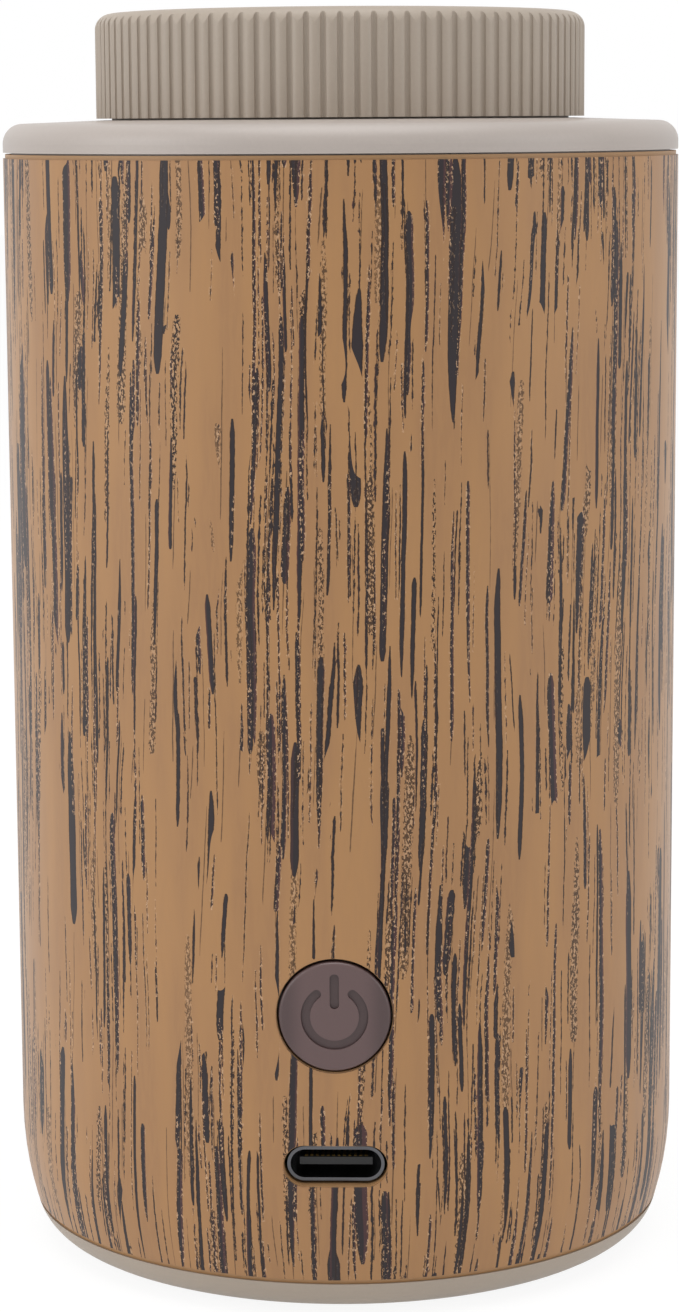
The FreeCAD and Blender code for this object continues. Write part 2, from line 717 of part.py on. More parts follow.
def oil_bottle():
    shoulder_z = rim_z - neck_height - 6.0
    root_z = rim_z - neck_height
    inner = bottle_radius - bottle_wall
    bend = (neck_radius + 1.2, root_z - 1.2)
    shell = spun((0, bottle_z + 0.8), (bottle_radius - 4.5, bottle_z + 0.8), (bottle_radius - 3.2, bottle_z),
                 (bottle_radius - 1.4, bottle_z),
                 ((bottle_radius - 0.41, bottle_z + 0.41), (bottle_radius, bottle_z + 1.4)),
                 (bottle_radius, shoulder_z),
                 ((bottle_radius - 1.1, shoulder_z + 2.9), bend), (neck_radius, root_z),
                 (neck_radius, rim_z),
                 (neck_bore, rim_z), (neck_bore, root_z - 2.2),
                 ((inner - 1.4, shoulder_z + 1.6), (inner, shoulder_z - 1)),
                 (inner, bottle_z + bottle_wall + 1.6),
                 ((inner - 0.5, bottle_z + bottle_wall + 0.5), (inner - 1.6, bottle_z + bottle_wall + 0.0)),
                 (0, bottle_z + bottle_wall))
    bead = ring(neck_radius + 1.0, neck_radius - 0.5, rim_z - 11.4, rim_z - 10.2)
    ridge = helical_ridge(neck_radius - thread_bite, neck_radius + thread_height, thread_root_width,
                          thread_crest_width, rim_z - thread_start, thread_turns)
    save("oil_bottle", joined(joined(shell, bead), ridge))
    save("bottle_gasket", ring(neck_radius + 0.6, neck_bore - 0.6, rim_z, head_plate_z))


def air_line():
    hose_bite = hose_bore - 0.05
    hose_seat = deck_z - 5.5
    grip = nipple_radius + press_play
    grommet = spun((grip, deck_top + 1.0), (grommet_flange, deck_top + 1.0),
                   (grommet_flange, deck_top), (grommet_neck, deck_top), (grommet_neck, deck_z),
                   (grommet_flange, deck_z), (grommet_flange, deck_z - 0.9), (hose_bite, deck_z - 0.9),
                   (hose_bite, hose_seat), (nipple_bore, hose_seat), (nipple_bore, deck_z - 0.6),
                   (grip, deck_z - 0.6))
    grommet.translate(port_at)
    save("port_grommet", grommet)
    start = port_at + Vector(0, 0, pump_top + 0.4)
    end = port_at + Vector(0, 0, deck_z - 1.0)
    save("air_hose", tube([start, end], hose_radius, hose_bore))


# --- button, switch and board ---
def symbol_tool():
    """The on-off sign, as deep as symbol_depth below the button's curved face."""
    y0, y1 = -body_radius - 2, -body_radius + 2
    half = symbol_width / 2
    arc = rod_y(symbol_radius + half, y0, y1, 0, button_z)
    arc = arc.cut(rod_y(symbol_radius - half, y0, y1, 0, button_z))
    reach = symbol_radius + 2
    wedge = Part.Face(Part.makePolygon([
        Vector(0, y0, button_z), Vector(reach * math.tan(math.radians(symbol_gap)), y0, button_z + reach),
        Vector(-reach * math.tan(math.radians(symbol_gap)), y0, button_z + reach), Vector(0, y0, button_z)]))
    arc = arc.cut(wedge.extrude(Vector(0, y1 - y0, 0)))
    ends = [rod_y(half, y0, y1, side * symbol_radius * math.sin(math.radians(symbol_gap)),
                  button_z + symbol_radius * math.cos(math.radians(symbol_gap))) for side in (-1, 1)]
    bar = joined(box(-half, half, y0, y1, button_z + bar_low, button_z + bar_high),
                 rod_y(half, y0, y1, 0, button_z + bar_low), rod_y(half, y0, y1, 0, button_z + bar_high))
    sign = joined(arc, *ends, bar)
    return sign.cut(rod(body_radius + button_proud - symbol_depth, button_z - 8, button_z + 8))


def power_button():
    flange_y = -sleeve_inner + 1.0
    plunger_tip = board_front - switch_height - plunger_height
    face = rod_y(button_radius, -body_radius - 3, flange_y, 0, button_z)
    face = face.common(rod(body_radius + button_proud, button_z - 8, button_z + 8))
    front_edges = [e for e in face.Edges if e.CenterOfMass.y < -body_radius + 1 and len(e.Vertexes) <= 2
                   and e.BoundBox.XLength > button_radius]
    face = face.makeFillet(0.35, front_edges)
    flange = rod_y(flange_radius, flange_y, flange_y + 0.6, 0, button_z)
    stem = rod_y(1.8, flange_y + 0.3, plunger_tip - 0.05, 0, button_z)
    save("power_button", joined(face, flange, stem).cut(symbol_tool()))

    guide_front = flange_y + 0.6 + button_travel + 0.1
    guide = rod_y(guide_radius, guide_front, board_front, 0, button_z)
    guide = guide.cut(rod_y(guide_bore, guide_front - OVERCUT, board_front + OVERCUT, 0, button_z))
    for x in (-led_at, led_at):
        guide = guide.cut(box(x - led_width / 2 - 0.1, x + led_width / 2 + 0.1,
                              board_front - led_height - 0.1, board_front + OVERCUT,
                              button_z - 0.5, button_z + 0.5))
    save("button_guide", guide)
    side = switch_side / 2
    body = box(-side, side, board_front - switch_height, board_front, button_z - side, button_z + side)
    body = body.makeChamfer(0.3, [e for e in body.Edges if e.BoundBox.YLength < 0.01
                                  and e.CenterOfMass.y < board_front - 1])
    hollow = rod_y(plunger_radius + 0.1, board_front - switch_height - OVERCUT,
                   board_front - 1.2, 0, button_z)
    save("switch_body", body.cut(hollow))
    plunger_back = board_front - 1.2 - button_travel - 0.1
    save("switch_plunger", rod_y(plunger_radius, plunger_tip, plunger_back, 0, button_z))


def board(stand_z):
    half = board_width / 2
    plate = box(-half, half, board_front, board_back, board_z, board_top)
    for x in (-board_stand_x, board_stand_x):
        plate = plate.cut(rod_y(1.1, board_front - OVERCUT, board_back + OVERCUT, x, stand_z))
    save("main_board", plate)
    screws = []
    for x in (-board_stand_x, board_stand_x):
        bolt = screw(board_screw, 0, Vector(0, 0, 0))
        bolt.rotate(Vector(0, 0, 0), Vector(1, 0, 0), -90)
        bolt.translate(Vector(x, board_front + board_screw["length"], stand_z))
        screws.append(bolt)
    save("board_screws", *screws)

    mouth = board_front - usb_length
    shell = stadium_y(usb_width, usb_height, mouth, board_front, usb_z)
    inner = stadium_y(usb_width - 2 * usb_wall, usb_height - 2 * usb_wall, mouth - OVERCUT,
                      board_front - 1.0, usb_z)
    save("usb_shell", shell.cut(inner))
    tongue_y0, tongue_y1 = mouth + 0.9, board_front - 1.0
    save("usb_tongue", joined(box(-3.35, 3.35, tongue_y0, tongue_y1, usb_z - 0.35, usb_z + 0.35),
                              box(-3.6, 3.6, tongue_y1 - 1.6, tongue_y1, usb_z - 0.9, usb_z + 0.9)))
    pads = []
    for n in range(12):
        x = (n - 5.5) * 0.5
        for z0, z1 in ((0.35, 0.41), (-0.41, -0.35)):
            pads.append(box(x - 0.13, x + 0.13, tongue_y0 + 0.4, tongue_y1 - 1.6, usb_z + z0, usb_z + z1))
    save("usb_contacts", *pads)

    chips = [(-5, 22, 5, 4, 1.5), (5.5, 21, 3, 3, 1.0), (4.5, 14, 2.9, 1.6, 1.1), (0, 33.5, 3, 1.7, 1.1)]
    chips = [box(x - w / 2, x + w / 2, board_back, board_back + t, z - h / 2, z + h / 2)
             for x, z, w, h, t in chips]
    small = [(-10, 24), (-10, 21), (-1, 27), (1.5, 27), (9.5, 24), (9.5, 18), (-6, 15), (-3, 15), (1, 18)]
    coil = rod_y(2.4, board_back, board_back + 2.6, -9.0, 28.5)
    save("board_parts", *chips, *[box(x - 0.5, x + 0.5, board_back, board_back + 0.8, z - 0.9, z + 0.9)
                                  for x, z in small], coil)
    save("status_leds", *[box(x - led_width / 2, x + led_width / 2, board_front - led_height, board_front,
                              button_z - 0.4, button_z + 0.4) for x in (-led_at, led_at)])
    sockets = []
    for x in (-8.0, 8.0):
        block = box(x - 3, x + 3, board_back, board_back + 4.2, socket_z - 2.2, socket_z + 2.2)
        sockets.append(block.cut(box(x - 2.3, x + 2.3, board_back + 1, board_back + 6,
                                     socket_z - 1.5, socket_z + 1.5)))
    save("lead_sockets", *sockets)


def leads():
    """Two pairs of thin leads, laid from the sockets to the motor and to the cell."""
    socket_y = board_back + 1.6
    motor_pair, cell_pair = [], []
    for side, tab_angle in zip((-0.8, 0.8), tab_angles):
        tab_top = Vector(0, 0, tab_z + tab_thickness + lead_radius)
        tab = pump_at + at_angle(motor_radius + 1.0, tab_angle) + tab_top
        motor_pair.append(tube([Vector(-8 + side, socket_y, socket_z),
                                Vector(-8 + side, -13.5, socket_z - 0.4),
                                Vector(-6.5 + side, -12.2, 27), Vector(-5 + 1.5 * side, -12.4, 19),
                                tab + Vector(0.5, -2.6, 4.5), tab], lead_radius))
        on_cell = bay_floor + cell_length + lead_radius
        cell_pair.append(tube([Vector(8 + side, socket_y, socket_z), Vector(8 + side, -13.5, socket_z + 0.4),
                               Vector(9 + side, -10, 38), Vector(10.4 + side, -6.2, on_cell),
                               Vector(12.6 + side, -0.6, on_cell)], lead_radius))
    save("motor_leads", *motor_pair)
    save("battery_leads", *cell_pair)


def battery():
    groove_z = bay_floor + cell_length - 3.0
    can = spun((0, bay_floor), (cell_radius - 0.5, bay_floor), (cell_radius, bay_floor + 0.5),
               (cell_radius, groove_z - 0.8), (cell_radius - 0.5, groove_z), (cell_radius, groove_z + 0.8),
               (cell_radius, bay_floor + cell_length - 0.6),
               (cell_radius - 0.6, bay_floor + cell_length - 0.1),
               (3.0, bay_floor + cell_length - 0.1), (3.0, bay_floor + cell_length + 0.3),
               (0, bay_floor + cell_length + 0.3))
    can.translate(cell_at)
    save("battery_cell", can)
    save("cell_pad", rod(cell_radius, tray_top, bay_floor, cell_at))


# --- pump ---
def motor():
    can = ring(motor_radius, motor_radius - can_wall, motor_z, motor_top, pump_at)
    roof = ring(motor_radius - can_wall / 2, bush_radius, motor_top - can_wall, motor_top, pump_at)
    collar = ring(bush_radius + 0.8, bush_radius, motor_top - 1.8, motor_top, pump_at)
    can = joined(can, roof, collar)
    inside = motor_radius - can_wall
    tabs = []
    for angle in tab_angles:
        notch = turned(box(inside - 1, motor_radius + 1, -0.9, 0.9, tab_z - 0.05,
                           tab_z + tab_thickness + 0.05), angle)
        tab = turned(box(inside - 3, motor_radius + 1.5, -0.8, 0.8, tab_z, tab_z + tab_thickness), angle)
        notch.translate(pump_at)
        tab.translate(pump_at)
        can = can.cut(notch)
        tabs.append(tab)
    save("motor_can", can)
    save("motor_terminals", *tabs)
    cap = ring(inside - 0.02, bush_radius, motor_z, motor_z + end_cap_thickness, pump_at)
    pocket = ring(bush_radius + 0.8, bush_radius, motor_z, motor_z + 2.0, pump_at)
    save("motor_end_cap", joined(cap, pocket))
    save("motor_bushes", *[ring(bush_radius, bush_bore, z, z + 1.8, pump_at)
                           for z in (motor_z + 0.2, motor_top - 1.8)])
    magnet_z0, magnet_z1 = motor_z + 4.0, motor_top - 2.5
    save("motor_magnets", *[sector(inside - 0.02, inside - 1.9, magnet_z0, magnet_z1, a, 130, pump_at)
                            for a in (0, 180)])
    save("motor_shaft", rod(shaft_radius, motor_z + 0.4, wheel_z + wheel_height - 0.6, pump_at))
    pole = inside - 2.3
    core_z0, core_z1 = motor_z + 5.2, motor_top - 3.8
    hub = ring(3.2, shaft_radius, core_z0, core_z1, pump_at)
    poles = [box(2.5, pole - 0.6, -1.1, 1.1, core_z0, core_z1)]
    poles = [turned(poles[0], a) for a in (0, 120, 240)]
    for p in poles:
        p.translate(pump_at)
    shoes = [sector(pole, pole - 1.3, core_z0, core_z1, a, 96, pump_at) for a in (0, 120, 240)]
    save("motor_armature", joined(hub, *poles, *shoes))
    coils = []
    for angle in (0, 120, 240):
        coil = box(4.0, pole - 2.0, -2.4, 2.4, core_z0 - 1.1, core_z1 + 1.1)
        coil = coil.makeFillet(0.9, [e for e in coil.Edges if e.BoundBox.XLength > 1])
        coil = coil.cut(box(3.5, pole, -1.12, 1.12, core_z0 - 0.02, core_z1 + 0.02))
        coil = turned(coil, angle)
        coil.translate(pump_at)
        coils.append(coil)
    save("motor_windings", *coils)
    bars = [sector(2.5, shaft_radius + press_play, motor_z + 2.4, core_z0 - 1.3, a, 112, pump_at)
            for a in (0, 120, 240)]
    save("motor_commutator", *bars)
    brushes = []
    for side in (-1, 1):
        block = joined(box(2.62, 6.0, -0.8, 0.8, motor_z + 2.0, motor_z + 3.4),
                       box(bush_radius + 0.85, 6.0, -0.8, 0.8, motor_z + end_cap_thickness, motor_z + 2.1))
        block = turned(block, 90 * side)
        block.translate(pump_at)
        brushes.append(block)
    save("motor_brushes", *brushes)


def swashed(shape):
    """Tilts a shape about the swash pivot, as the drive pin holds it."""
    copy = shape.copy()
    copy.rotate(Vector(pump_at.x, pump_at.y, pivot_z), Vector(0, 1, 0), swash_angle)
    return copy


def swash_drive():
    wheel = rod(wheel_radius, wheel_z, wheel_z + wheel_height, pump_at)
    wheel = wheel.cut(rod(shaft_radius, wheel_z - OVERCUT, wheel_z + wheel_height - 0.6, pump_at))
    pin_foot, pin_top = wheel_z + wheel_height - 0.5, pivot_z - 2.6
    pin = swashed(rod(pin_radius, pin_foot, pin_top, pump_at))
    save("drive_wheel", wheel.cut(pin))
    save("drive_pin", pin)
    hub_z0 = wheel_z + wheel_height + 0.55
    arm_top = pivot_z - 2.1
    hub = rod(1.9, hub_z0, arm_top, pump_at)
    arms = []
    for angle in cup_angles:
        arm = box(0, arm_reach, -0.9, 0.9, arm_top - arm_thickness, arm_top)
        arm = turned(arm, angle)
        arm.translate(pump_at)
        arms.append(arm)
        arms.append(rod(1.6, arm_top - arm_thickness, arm_top, pump_at + at_angle(arm_reach, angle)))
    yoke = swashed(joined(hub, *arms))
    hollow = swashed(rod(pin_radius + pin_play, hub_z0 - OVERCUT, pin_top + pin_play, pump_at))
    save("swash_yoke", yoke.cut(hollow))
    return arm_top


def pump_stack(arm_top):
    places = [pump_at + at_angle(pump_boss_distance, a) for a in pump_screw_angles]
    wall = ring(motor_radius, motor_radius - 1.0, motor_top, diaphragm_z, pump_at)
    plate = ring(motor_radius, bush_radius + 1.2, motor_top, motor_top + 0.8, pump_at)
    bosses = [rod(1.7, motor_top + 0.4, diaphragm_z, p) for p in places]
    base = joined(wall, plate, *bosses).common(rod(motor_radius, motor_top, diaphragm_z, pump_at))
    inlet = sector(motor_radius + OVERCUT, motor_radius - 2, motor_top + 2.2, motor_top + 4.6,
                   cup_angles[0], 24, pump_at)
    base = base.cut(inlet)
    tip_z = pump_head_z + pump_head_height - pump_screw["length"] + 0.9
    for p in places:
        base = base.cut(rod(pump_screw["shank"] + screw_play, tip_z - 0.5, diaphragm_z + OVERCUT, p))
    save("pump_base", base)

    sheet = rod(motor_radius - 0.2, diaphragm_z, valve_z, pump_at)
    for angle in cup_angles:
        place = pump_at + at_angle(arm_reach, angle)
        cup = rod(cup_radius, diaphragm_z - 6, diaphragm_z + 0.3, place)
        below = swashed(box(pump_at.x - 20, pump_at.x + 20, pump_at.y - 20, pump_at.y + 20,
                            arm_top - 20, arm_top + 0.06))
        sheet = joined(sheet, cup.cut(below))
        inside = swashed(box(pump_at.x - 20, pump_at.x + 20, pump_at.y - 20, pump_at.y + 20,
                             arm_top - 20, arm_top + 0.06 + cup_wall))
        sheet = sheet.cut(rod(cup_radius - cup_wall, diaphragm_z - 8, valve_z + OVERCUT, place).cut(inside))
    for p in places:
        sheet = sheet.cut(rod(pump_screw["shank"] + 0.15, diaphragm_z - OVERCUT, valve_z + OVERCUT, p))
    save("pump_diaphragm", sheet)

    plate = rod(motor_radius, valve_z, pump_head_z, pump_at)
    valves = []
    for angle in cup_angles:
        inlet_at = pump_at + at_angle(arm_reach + 0.9, angle)
        outlet_at = pump_at + at_angle(arm_reach - 1.1, angle)
        plate = plate.cut(rod(0.45, valve_z - OVERCUT, pump_head_z + OVERCUT, inlet_at))
        plate = plate.cut(rod(0.45, valve_z - OVERCUT, pump_head_z + OVERCUT, outlet_at))
    valve_at = pump_at
    plate = plate.cut(rod(0.8, valve_z - OVERCUT, pump_head_z + OVERCUT, valve_at))
    valves.append(joined(rod(5.8, pump_head_z, pump_head_z + 0.35, valve_at),
                         rod(0.75, valve_z + 0.2, pump_head_z + 0.2, valve_at)))
    for p in places:
        plate = plate.cut(rod(pump_screw["shank"] + 0.15, valve_z - OVERCUT, pump_head_z + OVERCUT, p))
    save("pump_valve_plate", plate)
    save("pump_valves", *valves)

    head = rod(motor_radius, pump_head_z, pump_top, pump_at)
    head = head.cut(rod(7.6, pump_head_z - OVERCUT, pump_head_z + 1.6, pump_at))
    barb = spun((nipple_bore, pump_top - 0.5), (barb_radius, pump_top - 0.5), (barb_radius, pump_top + 4.6),
                (barb_radius - 0.3, pump_top + 5.2), (nipple_bore, pump_top + 5.2))
    barb.translate(port_at)
    head = joined(head, barb)
    head = head.cut(rod(nipple_bore, pump_head_z + 1, pump_top + 6, port_at))
    for p in places:
        head = head.cut(rod(pump_screw["shank"] + 0.15, pump_head_z - OVERCUT, pump_top + OVERCUT, p))
        head = head.cut(rod(pump_screw["head"] + 0.2, pump_top - 0.9, pump_top + OVERCUT, p))
    save("pump_head", head)
    bolts = []
    for p in places:
        bolt = screw(pump_screw, 0, Vector(0, 0, 0))
        bolt.rotate(Vector(0, 0, 0), Vector(1, 0, 0), 180)
        bolt.translate(Vector(p.x, p.y, tip_z))
        bolts.append(bolt)
    save("pump_screws", *bolts)

    foam_top = tray_top + cradle_height + 3
    foam = rod(motor_radius + foam_thickness, tray_top, foam_top, pump_at)
    foam = foam.cut(rod(motor_radius + 0.05, bay_floor, foam_top + OVERCUT, pump_at))
    foam = foam.cut(rod(bush_radius + 1.0, tray_top - OVERCUT, bay_floor + OVERCUT, pump_at))
    window = sector(motor_radius + 2, motor_radius - 3, bay_floor + 0.6, foam_top + OVERCUT,
                    -55, 30, pump_at)
    save("pump_foam", foam.cut(window))


base_cover()
foot_pad()
inlet_filter()
body_sleeve()
wood_film()
bottle_well(top_collar())
inner_frame()
stand_z = chassis_tray()
ribbed_cap()
head_body()
oil_bottle()
air_line()
power_button()
board(stand_z)
leads()
battery()
motor()
pump_stack(swash_drive())

os.makedirs("parts", exist_ok=True)
for name, shape in sorted(parts.items()):
    shape.exportStep(f"parts/{name}.step")
    print(f"{name}: {len(shape.Solids)} solid, {shape.Volume:.1f} mm3, valid {shape.isValid()}")
print(f"{len(parts)} nodes, body {2 * body_radius:.1f} wide, {cap_top:.1f} high")
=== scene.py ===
import json
import math

import bmesh
import bpy
from mathutils import Matrix, Vector


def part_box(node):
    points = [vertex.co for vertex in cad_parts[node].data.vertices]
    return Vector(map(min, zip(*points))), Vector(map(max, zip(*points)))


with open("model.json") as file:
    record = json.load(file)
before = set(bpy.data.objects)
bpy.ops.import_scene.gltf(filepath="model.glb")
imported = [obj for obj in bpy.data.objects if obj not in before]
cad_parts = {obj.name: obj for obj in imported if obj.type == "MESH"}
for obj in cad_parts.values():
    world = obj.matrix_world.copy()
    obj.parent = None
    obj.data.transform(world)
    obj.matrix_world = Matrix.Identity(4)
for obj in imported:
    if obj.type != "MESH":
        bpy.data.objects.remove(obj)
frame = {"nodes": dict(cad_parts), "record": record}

for leftOver in ("Cube", "Light", "Camera"):  # what an empty Blender file starts with
    if leftOver in bpy.data.objects:
        bpy.data.objects.remove(bpy.data.objects[leftOver])
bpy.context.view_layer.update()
nodes = frame["nodes"]
mm = 0.001

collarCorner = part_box("top_collar")[1]
casingRadius = collarCorner.x
collarTop = collarCorner.z


class Wire:  # one output socket of a shader node, with the arithmetic that the materials use
    def __init__(self, finish, socket):
        self.finish = finish
        self.socket = socket

    def out(self, name):
        return Wire(self.finish, self.socket.node.outputs[name])

    def maths(self, operation, *values):
        inputs = {n: value for n, value in enumerate((self,) + values)}
        return self.finish.node("Math", {"operation": operation}, inputs)

    def __add__(self, other):
        return self.maths("ADD", other)

    def __sub__(self, other):
        return self.maths("SUBTRACT", other)

    def __mul__(self, other):
        return self.maths("MULTIPLY", other)

    def __truediv__(self, other):
        return self.maths("DIVIDE", other)

    def __neg__(self):
        return self.maths("MULTIPLY", -1.0)

    def __abs__(self):
        return self.maths("ABSOLUTE")

    def __rsub__(self, other):
        return self.finish.node("Math", {"operation": "SUBTRACT"}, {0: other, 1: self})

    def least(self, other):
        return self.maths("MINIMUM", other)

    def most(self, other):
        return self.maths("MAXIMUM", other)

    def ramp(self, low, high, start=0.0, end=1.0):  # smooth step from start to end between low and high
        inputs = {"Value": self, "From Min": low, "From Max": high, "To Min": start, "To Max": end}
        return self.finish.node("MapRange", {"interpolation_type": "SMOOTHSTEP"}, inputs)


class Finish:  # one material, built on a Principled shader
    def __init__(self, name, **constants):
        self.material = bpy.data.materials.new(name)
        self.material.use_nodes = True
        self.tree = self.material.node_tree
        self.shader = self.tree.nodes["Principled BSDF"]
        self.set(**constants)

    def set(self, **values):
        for name, value in values.items():
            self.plug(self.shader.inputs[name.replace("_", " ")], value)

    def plug(self, target, value):
        if isinstance(value, Wire):
            self.tree.links.new(value.socket, target)
        else:
            target.default_value = value

    def node(self, kind, settings, inputs):
        made = self.tree.nodes.new("ShaderNode" + kind)
        for name, value in settings.items():
            setattr(made, name, value)
        for name, value in inputs.items():
            self.plug(made.inputs[name], value)
        return Wire(self, next(o for o in made.outputs if o.enabled))

    def place(self):  # object coordinates in millimetres
        spot = self.node("TexCoord", {}, {}).out("Object")
        return self.node("VectorMath", {"operation": "SCALE"}, {0: spot, "Scale": 1 / mm})

    def xyz(self, vector):
        parts = self.node("SeparateXYZ", {}, {0: vector})
        return [parts.out(axis) for axis in "XYZ"]

    def join(self, x, y, z=0.0):
        return self.node("CombineXYZ", {}, {"X": x, "Y": y, "Z": z})

    def noise(self, vector, scale=1.0, detail=2.0, rough=0.5, dimensions="3D"):
        inputs = {"Vector": vector, "Scale": scale, "Detail": detail, "Roughness": rough}
        return self.node("TexNoise", {"noise_dimensions": dimensions}, inputs)

    def chance(self, vector):  # four random values, the same all over each whole-number cell
        made = self.node("TexWhiteNoise", {"noise_dimensions": "3D"}, {"Vector": vector})
        parts = self.node("SeparateColor", {}, {0: made.out("Color")})
        return [parts.out(name) for name in ("Red", "Green", "Blue")] + [made.out("Value")]

    def blend(self, share, first, second):
        inputs = {"Factor": share, 6: first, 7: second}
        return self.node("Mix", {"data_type": "RGBA"}, inputs).out(2)

    def bump(self, height, distance, strength=1.0):  # distance in metres
        inputs = {"Height": height, "Distance": distance, "Strength": strength}
        self.set(Normal=self.node("Bump", {}, inputs))


def paint(red, green, blue):  # an sRGB colour, 0 to 255, as the shader's linear one
    def linear(value):
        value = value / 255
        return value / 12.92 if value <= 0.04045 else ((value + 0.055) / 1.055) ** 2.4
    return (linear(red), linear(green), linear(blue), 1.0)


def shade(colour, share):  # the same hue, brighter or darker
    return tuple(min(1.0, value * share) for value in colour[:3]) + (1.0,)


woodPrint = {  # lengths in millimetres
    "base": paint(170, 128, 87), "baseWarm": paint(173, 130, 87), "baseDull": paint(164, 123, 85),
    "charcoal": paint(42, 35, 38), "plum": paint(78, 50, 50), "umber": paint(38, 22, 15),
    "speck": paint(196, 160, 126),
    "roughness": 0.42, "shine": 0.25, "sheen": 0.12, "coat": 0.06, "coatRoughness": 0.3,
    "inkRoughness": 0.1, "grainRoughness": 0.06, "inkDepth": 0.012, "inkRelief": 0.6, "grainRelief": 0.3,
    # how often each pattern repeats in a millimetre, around the casing and along it
    "wave": (1 / 12, 1 / 40), "ripple": (1 / 2.5, 1 / 7), "ragged": (3.6, 1.3), "crowd": (1 / 7, 1 / 42),
    "mottle": (1 / 4, 1 / 26), "grain": (2.2, 1 / 3), "salt": (4.6, 2.4),
    "crowdStart": (3.1, 1.7),  # where on its pattern the crowding of the marks begins
    "lean": 0.02, "waveWidth": 0.9, "rippleWidth": 0.12,
    "edge": 0.035,  # how far the ink takes to fade
    "bandCrowd": 0.1, "bandPale": 0.46, "strokePale": 0.42,  # levels on the fine pattern
    "bandSpecks": 0.6, "hairInk": 0.75, "plumInk": 0.8,  # strongest share of each colour
    # smooth steps: where one starts and ends, then its values there if they aren't 0 and 1
    "crowding": (0.34, 0.64, 0.35, 1.6), "mottling": (0.35, 0.65), "graining": (0.4, 0.62, 0.0, 0.5),
    "bandFade": (-0.15, 0.3), "dotSize": (0.55, 0.59), "dotFade": (0.02, 0.2), "paleFade": (0.0, 0.04),
    "haloReach": (-0.16, -0.05), "haloPick": (0.3, 0.8, 0.1, 0.7), "core": (0.02, 0.14),
    "plumSide": (0.15, 0.5), "plumPick": (0.2, 0.3), "holeDepth": (0.2, 0.05), "holePick": (0.55, 0.8),
}
# the marks, widest first: cell size, half widths and half lengths in mm, share of cells left empty,
# ragged edge, lean and seed
markValues = ("across", "along", "width", "length", "gaps", "rag", "lean", "seed")
strokeLayers = [dict(zip(markValues, values)) for values in (
    (2.3, 30, (0.17, 0.62), (6, 15), 0.36, 0.09, 0.5, 1.0),
    (1.7, 21, (0.12, 0.36), (4, 10.5), 0.46, 0.12, 0.4, 2.0),
    (1.3, 14, (0.07, 0.24), (2.5, 7), 0.58, 0.16, 0.3, 3.0),
    (1.0, 17, (0.045, 0.12), (4, 8.5), 0.52, 0.24, 0.3, 4.0),
    (0.8, 10, (0.03, 0.09), (2, 5), 0.6, 0.26, 0.2, 5.0),
)]
speckBands = dict(zip(markValues, (2.0, 24, (0.15, 0.5), (5, 12), 0.75, 0.3, 0.4, 7.0)))
hairLines = dict(zip(markValues, (1.5, 16, (0.03, 0.06), (2.5, 8), 0.5, 0.08, 0.3, 9.0)))


markShape = {
    "seedStep": 0.37, "slideSeed": 11.0, "slideCells": 5.0, "secondSeed": 40.0,  # tell the layers apart
    "centreStart": 0.28, "centreRange": 0.44,  # where a mark's middle may lie across its cell
    "turn": 0.1,  # share of a mark's half length over which one end's shape gives way to the other's
    "blunt": 9, "sharp": 1.3,  # how fast a blunt and a sharp end widen
    "leastRag": 0.4, "flankSoftness": 0.05,
    "cut": 0.02, "away": 9.0,  # a cell left empty and a mark's ends are cut by moving them far outside
}


def strokes(finish, across, along, ragged, crowd, look):
    # one long mark in each cell of a grid whose columns slide by a random step; returns how far inside
    # a mark a point is (mm), how far along its width it lies (-1 to 1), and a random value for each mark
    seed = look["seed"]
    turn = markShape["turn"]
    cut = markShape["cut"]
    away = markShape["away"]
    column = across / look["across"] + seed * markShape["seedStep"]
    columnNumber = column.maths("FLOOR")
    slide = finish.chance(finish.join(columnNumber, seed, markShape["slideSeed"]))[3]
    row = along / look["along"] + slide * markShape["slideCells"]
    rowNumber = row.maths("FLOOR")
    firstDraw = finish.join(columnNumber, rowNumber, seed)
    secondDraw = finish.join(columnNumber, rowNumber, seed + markShape["secondSeed"])
    pickCentre, pickLength, pickWidth, pickLean = finish.chance(firstDraw)
    pickShown, pickFlank, pickTip, pickRag = finish.chance(secondDraw)
    shortest, longest = look["length"]
    halfLength = pickLength * (longest - shortest) + shortest
    reach = ((row - rowNumber - 0.5) * look["along"]) / halfLength
    tip = 1 - abs(reach)
    upper = reach.ramp(-turn, turn)
    blunt = upper * pickTip + (1 - upper) * (1 - pickTip)
    widening = blunt * blunt * markShape["blunt"] + markShape["sharp"]
    taper = (tip.most(0.0) * widening).least(1.0).maths("SQRT")
    narrow, wide = look["width"]
    halfWidth = (pickWidth * pickWidth * (wide - narrow) + narrow) * taper
    centre = (pickCentre * markShape["centreRange"] + markShape["centreStart"]) * look["across"]
    leaning = (pickLean - 0.5) * reach * look["lean"]
    offset = (column - columnNumber) * look["across"] - centre - leaning
    inside = halfWidth - abs(offset) + ragged * look["rag"] * (pickRag + markShape["leastRag"])
    empty = (pickShown - crowd * (1 - look["gaps"])).ramp(0.0, cut, 0.0, away)
    ended = tip.ramp(0.0, cut, away, 0.0)
    return inside - empty - ended, offset / (halfWidth + markShape["flankSoftness"]), pickFlank


